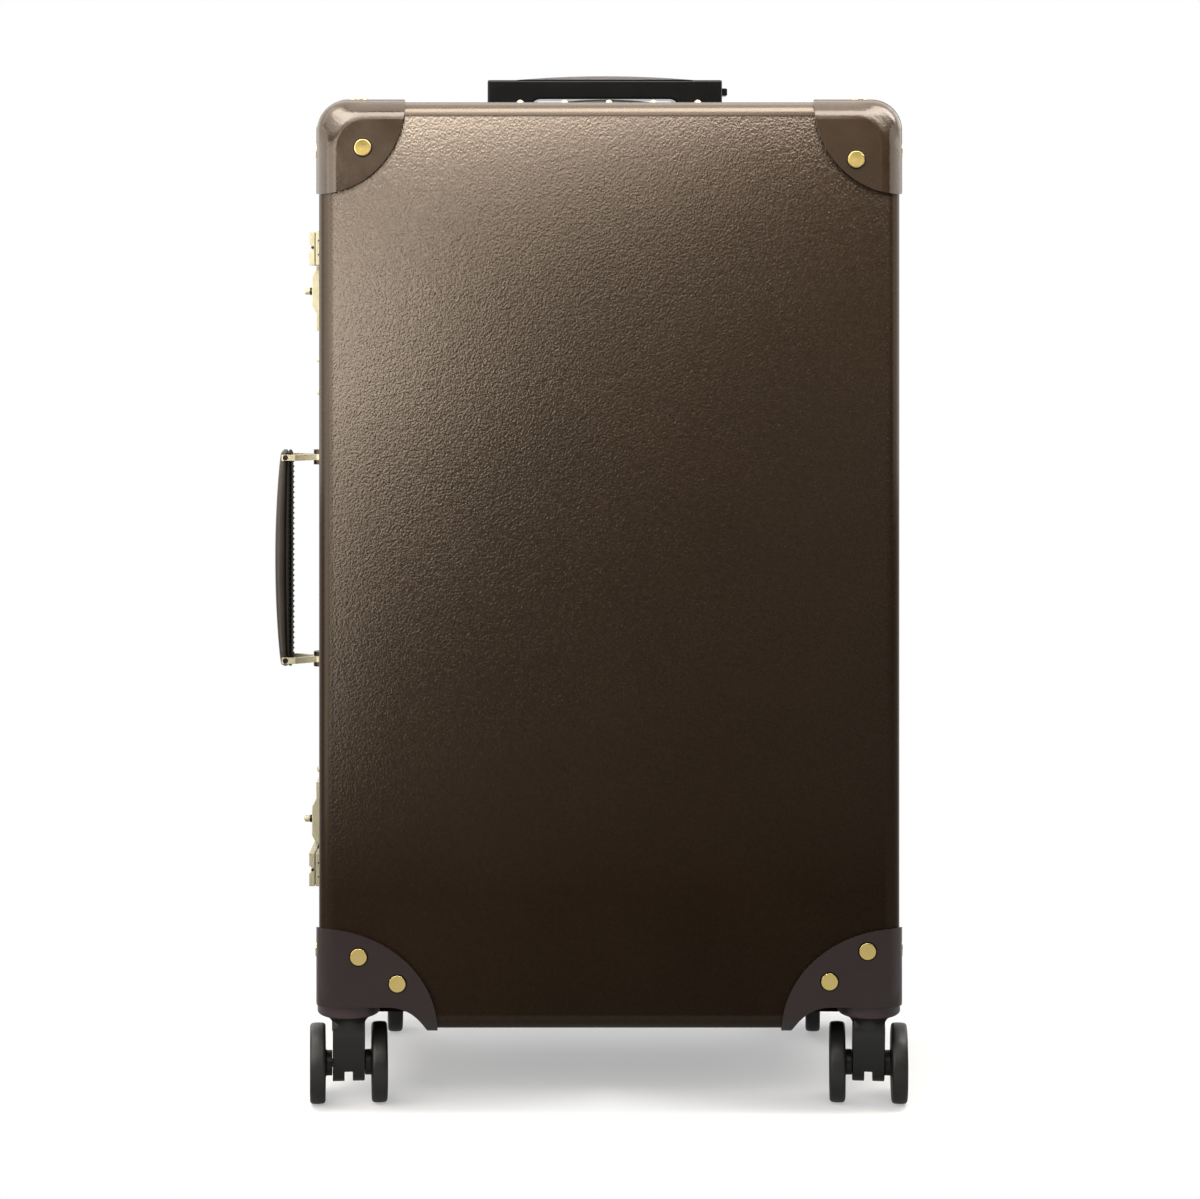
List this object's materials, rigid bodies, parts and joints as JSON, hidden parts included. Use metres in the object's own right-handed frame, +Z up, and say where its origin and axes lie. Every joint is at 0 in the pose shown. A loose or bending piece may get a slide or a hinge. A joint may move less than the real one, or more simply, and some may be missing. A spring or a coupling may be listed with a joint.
{
  "type": "spinner suitcase",
  "caption": "Upright hard-sided suitcase with riveted leather corner caps, brass latches, a leather side handle, a telescopic trolley handle and swivelling twin-wheel casters.",
  "frame": {"origin": "on the floor under the middle of the case body", "axes": "+X towards the hinge side, +Y from the lid towards the back of the base, +Z up"},
  "size_m": [0.4679, 0.2617, 0.7554],
  "materials": {
    "shell_fibre": "pebbled, low sheen",
    "cap_leather": "smooth, waxed",
    "grip_leather": "smooth, waxed",
    "brass": "brushed",
    "bracket_bronze": "satin",
    "steel": "satin",
    "frame_aluminium": "anodised",
    "tube_aluminium": "anodised",
    "black_plastic": "satin",
    "grey_plastic": "satin",
    "wheel_polyurethane": "satin",
    "lining_cloth": "woven",
    "webbing": "woven"
  },
  "bodies": {
    "base": {"base_shell": "shell_fibre", "base_frame": "frame_aluminium", "base_lining": "lining_cloth", "base_cap_top_left": "cap_leather", "base_cap_top_right": "cap_leather", "base_cap_bottom_left": "cap_leather", "base_cap_bottom_right": "cap_leather", "base_cap_rivets": "brass", "base_rim_rivets": "brass", "base_hinge_leaves": "brass", "hinge_pins": "steel", "latch_bodies": "brass", "side_handle_brackets": "bracket_bronze", "caster_mount_rear_left": "black_plastic", "caster_mount_rear_right": "black_plastic", "base_caster_screws": "steel", "trolley_foot_block": "black_plastic", "trolley_outer_tubes": "tube_aluminium", "trolley_bezel": "black_plastic", "trolley_cover_panel": "lining_cloth", "packing_straps": "webbing", "strap_buckle": "black_plastic"},
    "lid": {"lid_shell": "shell_fibre", "lid_frame": "frame_aluminium", "lid_lining": "lining_cloth", "lid_cap_top_left": "cap_leather", "lid_cap_top_right": "cap_leather", "lid_cap_bottom_left": "cap_leather", "lid_cap_bottom_right": "cap_leather", "lid_cap_rivets": "brass", "lid_rim_rivets": "brass", "lid_hinge_leaves": "brass", "lid_catches": "brass", "caster_mount_front_left": "black_plastic", "caster_mount_front_right": "black_plastic", "lid_caster_screws": "steel"},
    "latch_flap_upper": {"latch_flap_upper": "brass"},
    "latch_flap_lower": {"latch_flap_lower": "brass"},
    "latch_knob_upper": {"latch_knob_upper": "brass"},
    "latch_knob_lower": {"latch_knob_lower": "brass"},
    "side_handle": {"side_handle_grip": "grip_leather", "side_handle_stirrups": "brass", "side_handle_pins": "steel"},
    "trolley_middle": {"trolley_middle_tubes": "tube_aluminium"},
    "trolley_upper": {"trolley_inner_tubes": "tube_aluminium", "trolley_grip": "black_plastic", "trolley_grip_pad": "grey_plastic"},
    "trolley_button": {"trolley_button": "grey_plastic"},
    "caster_front_left": {"caster_fork_front_left": "black_plastic", "caster_axle_front_left": "steel"},
    "wheels_front_left": {"caster_wheels_front_left": "wheel_polyurethane"},
    "caster_front_right": {"caster_fork_front_right": "black_plastic", "caster_axle_front_right": "steel"},
    "wheels_front_right": {"caster_wheels_front_right": "wheel_polyurethane"},
    "caster_rear_left": {"caster_fork_rear_left": "black_plastic", "caster_axle_rear_left": "steel"},
    "wheels_rear_left": {"caster_wheels_rear_left": "wheel_polyurethane"},
    "caster_rear_right": {"caster_fork_rear_right": "black_plastic", "caster_axle_rear_right": "steel"},
    "wheels_rear_right": {"caster_wheels_rear_right": "wheel_polyurethane"}
  },
  "joints": [
    {"name": "lid_hinge", "type": "hinge", "parent": "base", "child": "lid", "pos_m": [0.2105, -0.056, 0.392], "axis": [0, 0, 1], "range_deg": [0, 165]},
    {"name": "trolley_stage_1", "type": "slide", "parent": "base", "child": "trolley_middle", "axis": [0, 0, 1], "range_m": [0, 0.16]},
    {"name": "trolley_stage_2", "type": "slide", "parent": "trolley_middle", "child": "trolley_upper", "axis": [0, 0, 1], "range_m": [0, 0.16]},
    {"name": "trolley_button_press", "type": "slide", "parent": "trolley_upper", "child": "trolley_button", "axis": [-1, 0, 0], "range_m": [0, 0.004], "stiffness_N_per_m": 300},
    {"name": "side_handle_swing", "type": "hinge", "parent": "base", "child": "side_handle", "pos_m": [-0.2158, 0, 0.3865], "axis": [0, 0, 1], "range_deg": [-70, 70]},
    {"name": "latch_flap_upper_hinge", "type": "hinge", "parent": "base", "child": "latch_flap_upper", "pos_m": [-0.2128, -0.0319, 0.6173], "axis": [0, 0, -1], "range_deg": [0, 100]},
    {"name": "latch_flap_lower_hinge", "type": "hinge", "parent": "base", "child": "latch_flap_lower", "pos_m": [-0.2128, -0.0319, 0.168], "axis": [0, 0, -1], "range_deg": [0, 100]},
    {"name": "latch_knob_upper_slide", "type": "slide", "parent": "base", "child": "latch_knob_upper", "axis": [0, 0, -1], "range_m": [0, 0.006], "stiffness_N_per_m": 200},
    {"name": "latch_knob_lower_slide", "type": "slide", "parent": "base", "child": "latch_knob_lower", "axis": [0, 0, 1], "range_m": [0, 0.006], "stiffness_N_per_m": 200},
    {"name": "caster_front_left_swivel", "type": "hinge", "parent": "lid", "child": "caster_front_left", "pos_m": [-0.187, -0.094, 0.06], "axis": [0, 0, 1], "continuous": true},
    {"name": "wheels_front_left_spin", "type": "hinge", "parent": "caster_front_left", "child": "wheels_front_left", "pos_m": [-0.18822, -0.08005, 0.0285], "axis": [0.9962, 0.0872, 0], "continuous": true},
    {"name": "caster_front_right_swivel", "type": "hinge", "parent": "lid", "child": "caster_front_right", "pos_m": [0.187, -0.094, 0.06], "axis": [0, 0, 1], "continuous": true},
    {"name": "wheels_front_right_spin", "type": "hinge", "parent": "caster_front_right", "child": "wheels_front_right", "pos_m": [0.18822, -0.08005, 0.0285], "axis": [0.9962, -0.0872, 0], "continuous": true},
    {"name": "caster_rear_left_swivel", "type": "hinge", "parent": "base", "child": "caster_rear_left", "pos_m": [-0.187, 0.094, 0.06], "axis": [0, 0, 1], "continuous": true},
    {"name": "wheels_rear_left_spin", "type": "hinge", "parent": "caster_rear_left", "child": "wheels_rear_left", "pos_m": [-0.18822, 0.10795, 0.0285], "axis": [0.9962, 0.0872, 0], "continuous": true},
    {"name": "caster_rear_right_swivel", "type": "hinge", "parent": "base", "child": "caster_rear_right", "pos_m": [0.187, 0.094, 0.06], "axis": [0, 0, 1], "continuous": true},
    {"name": "wheels_rear_right_spin", "type": "hinge", "parent": "caster_rear_right", "child": "wheels_rear_right", "pos_m": [0.18822, 0.10795, 0.0285], "axis": [0.9962, -0.0872, 0], "continuous": true}
  ],
  "couplings": [
    {"joint": "trolley_stage_2", "follows": "trolley_stage_1", "ratio": 1}
  ]
}
